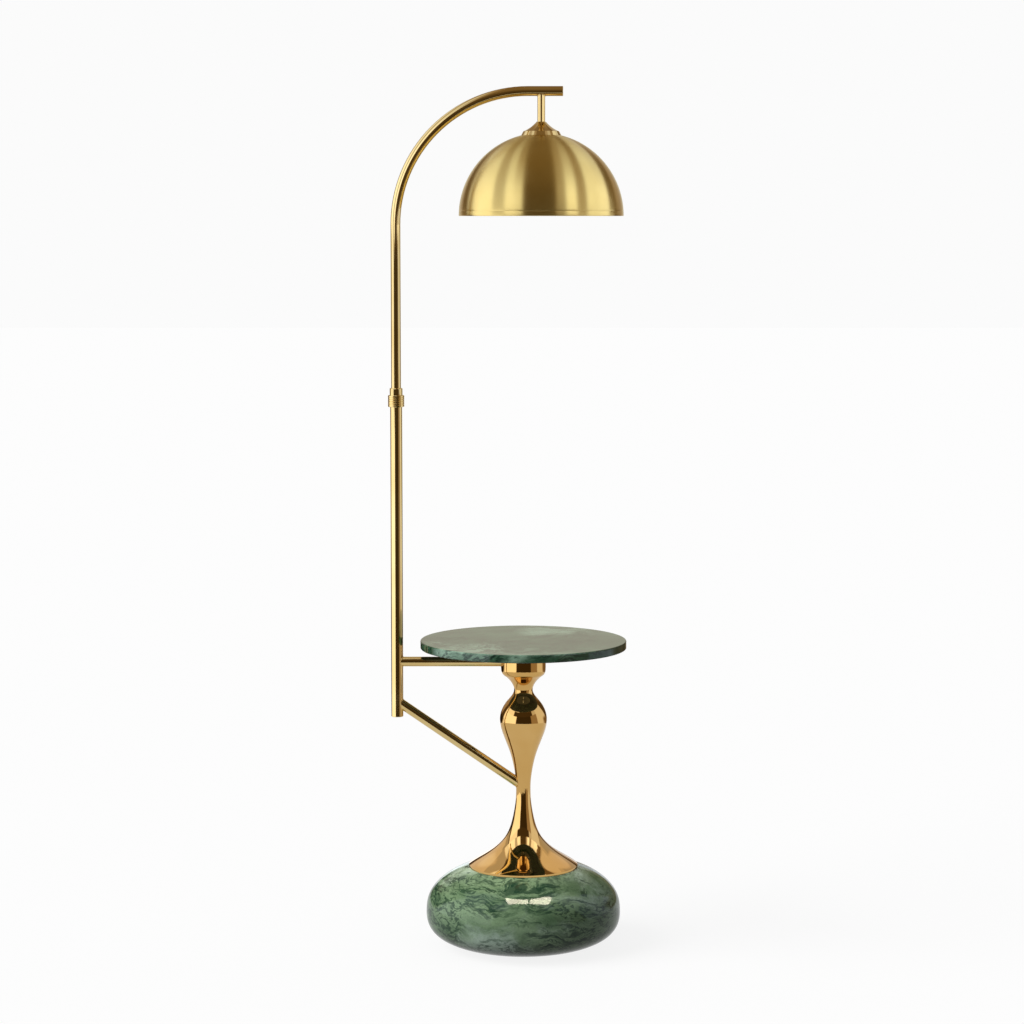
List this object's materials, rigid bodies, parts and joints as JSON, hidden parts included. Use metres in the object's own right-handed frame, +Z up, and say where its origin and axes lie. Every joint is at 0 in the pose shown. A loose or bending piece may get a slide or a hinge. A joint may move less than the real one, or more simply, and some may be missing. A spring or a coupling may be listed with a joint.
{
  "type": "shelf floor lamp",
  "caption": "Brass arc floor lamp with a half-round shade on a telescopic swivel mast, a round green marble side table on a turned column, and a rounded marble base.",
  "frame": {"origin": "on the floor at the axis of the turned column, the centre of the foot pad's underside", "axes": "+Z up; the pole stands on the -X side of the column and the arc reaches over it towards +X; the front faces -Y and the cord gland is at the back, +Y"},
  "size_m": [0.438, 0.38, 1.586],
  "materials": {
    "polished_brass": "polished",
    "satin_brass": "brushed",
    "raw_brass": "plain",
    "green_marble": "polished",
    "zinc_steel": "plated",
    "black_rubber": "matte",
    "black_plastic": "moulded",
    "white_nylon": "moulded",
    "black_lead": "sheath",
    "bulb_metal": "plain",
    "opal_glass": "opal"
  },
  "bodies": {
    "stand": {"foot_pad": "black_rubber", "marble_base": "green_marble", "cord_gland": "black_plastic", "base_plate": "zinc_steel", "base_nut": "zinc_steel", "tie_rod": "zinc_steel", "trumpet_foot": "polished_brass", "baluster": "polished_brass", "table_plate": "zinc_steel", "table_screws": "zinc_steel", "table_anchors": "raw_brass", "marble_top": "green_marble", "side_arm": "polished_brass", "brace": "polished_brass", "outer_pole": "polished_brass", "pole_end_cap": "polished_brass", "guide_sleeve": "white_nylon", "pole_lead": "black_lead", "stand_lead": "black_lead"},
    "lock_collar": {"lock_collar": "polished_brass"},
    "slider": {"guide_bush": "white_nylon"},
    "mast": {"mast_tube": "polished_brass", "mast_end_cap": "polished_brass", "stem": "polished_brass", "nipple": "zinc_steel", "shade_cap": "polished_brass", "shade": "satin_brass", "shade_washer": "zinc_steel", "shade_nut": "zinc_steel", "lamp_holder": "black_plastic", "holder_shell": "raw_brass", "holder_contact": "raw_brass", "bulb_cap": "bulb_metal", "bulb_glass": "opal_glass", "mast_lead": "black_lead"}
  },
  "joints": [
    {"name": "mast_height", "type": "slide", "parent": "stand", "child": "slider", "axis": [0, 0, 1], "range_m": [-0.25, 0], "deforming": ["pole_lead"]},
    {"name": "mast_swivel", "type": "hinge", "parent": "slider", "child": "mast", "pos_m": [-0.233, 0, 1], "axis": [0, 0, 1], "range_deg": [-170, 170]},
    {"name": "collar_turn", "type": "hinge", "parent": "stand", "child": "lock_collar", "pos_m": [-0.233, 0, 1], "axis": [0, 0, 1], "range_deg": [0, 180]}
  ]
}
